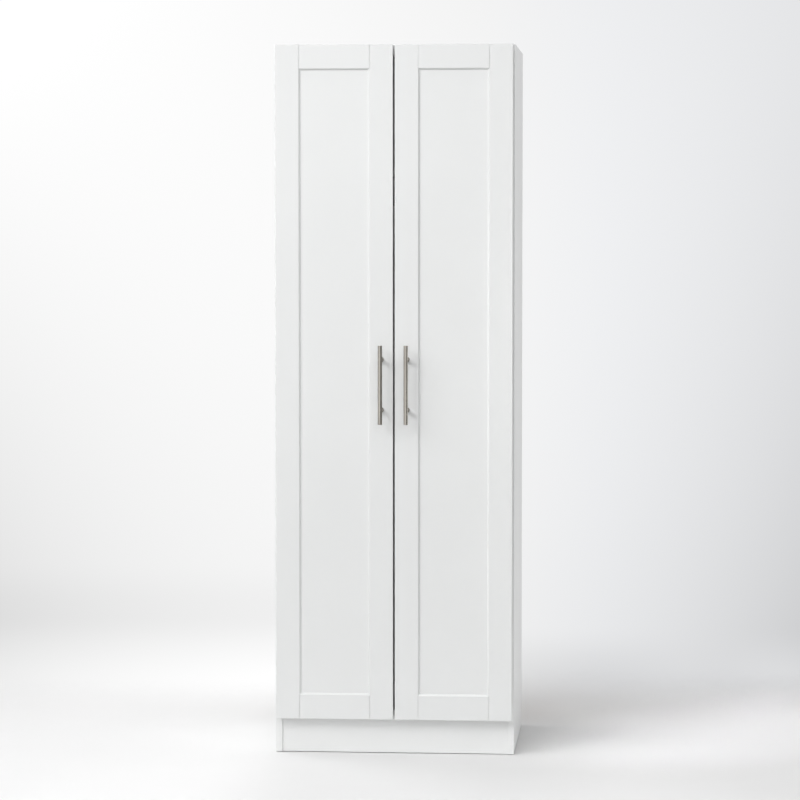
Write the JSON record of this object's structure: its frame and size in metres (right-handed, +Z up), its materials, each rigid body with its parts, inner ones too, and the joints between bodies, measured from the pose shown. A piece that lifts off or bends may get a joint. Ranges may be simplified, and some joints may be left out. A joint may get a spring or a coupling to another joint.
{
  "type": "wardrobe",
  "caption": "White wardrobe with framed panel doors on concealed hinges, bar pulls, plinth, hat shelf and a hanging rail inside.",
  "frame": {"origin": "bottom centre of the whole object's box, on the floor", "axes": "+Z up, the doors face -Y, +X to the right seen from the front"},
  "size_m": [0.61, 0.535, 1.805],
  "materials": {
    "white_laminate": "white melamine-faced particleboard, satin, banded edges",
    "white_door": "white satin lacquer on MDF frame and panel",
    "white_hardboard": "thin hardboard, white printed face inside, brown outside",
    "beech": "plain beech dowel with rounded ends",
    "brushed_nickel": "brushed warm grey nickel",
    "nickel_steel": "nickel plated pressed steel",
    "zinc_steel": "zinc plated steel",
    "magnet_steel": "ceramic magnet between steel pole plates",
    "cast_zinc": "die-cast zinc",
    "chrome_tube": "polished chrome",
    "socket_plastic": "white moulded plastic",
    "glide_plastic": "dark nail-on glide",
    "clear_rubber": "translucent soft dome"
  },
  "bodies": {
    "carcass": {"left_side_panel": "white_laminate", "right_side_panel": "white_laminate", "top_panel": "white_laminate", "bottom_panel": "white_laminate", "hat_shelf": "white_laminate", "back_panel": "white_hardboard", "toe_kick": "white_laminate", "rear_plinth_rail": "white_laminate", "hanging_rail": "chrome_tube", "left_rail_socket": "socket_plastic", "right_rail_socket": "socket_plastic", "rail_socket_screws": "zinc_steel", "cam_locks": "cast_zinc", "cam_bolts": "zinc_steel", "dowels": "beech", "back_panel_nails": "zinc_steel", "anti_tip_brackets": "zinc_steel", "anti_tip_screws": "zinc_steel", "floor_glides": "glide_plastic", "catch_housing": "socket_plastic", "catch_magnets": "magnet_steel", "catch_screws": "zinc_steel", "left_hinge_plates": "nickel_steel", "left_hinge_arms": "nickel_steel", "left_plate_screws": "zinc_steel", "left_arm_screws": "zinc_steel", "right_hinge_plates": "nickel_steel", "right_hinge_arms": "nickel_steel", "right_plate_screws": "zinc_steel", "right_arm_screws": "zinc_steel"},
    "left_door": {"left_hinge_stile": "white_door", "left_meeting_stile": "white_door", "left_top_rail": "white_door", "left_bottom_rail": "white_door", "left_door_panel": "white_door", "left_handle_bar": "brushed_nickel", "left_handle_posts": "brushed_nickel", "left_handle_screws": "zinc_steel", "left_hinge_cups": "nickel_steel", "left_cup_screws": "zinc_steel", "left_hinge_pins": "nickel_steel", "left_door_bumpers": "clear_rubber", "left_strike_plate": "zinc_steel", "left_strike_screw": "zinc_steel"},
    "right_door": {"right_hinge_stile": "white_door", "right_meeting_stile": "white_door", "right_top_rail": "white_door", "right_bottom_rail": "white_door", "right_door_panel": "white_door", "right_handle_bar": "brushed_nickel", "right_handle_posts": "brushed_nickel", "right_handle_screws": "zinc_steel", "right_hinge_cups": "nickel_steel", "right_cup_screws": "zinc_steel", "right_hinge_pins": "nickel_steel", "right_door_bumpers": "clear_rubber", "right_strike_plate": "zinc_steel", "right_strike_screw": "zinc_steel"}
  },
  "joints": [
    {"name": "left_door_hinge", "type": "hinge", "parent": "carcass", "child": "left_door", "pos_m": [-0.2935, -0.2221, 0.945], "axis": [0, 0, -1], "range_deg": [0, 105]},
    {"name": "right_door_hinge", "type": "hinge", "parent": "carcass", "child": "right_door", "pos_m": [0.2935, -0.2221, 0.945], "axis": [0, 0, 1], "range_deg": [0, 105]}
  ]
}
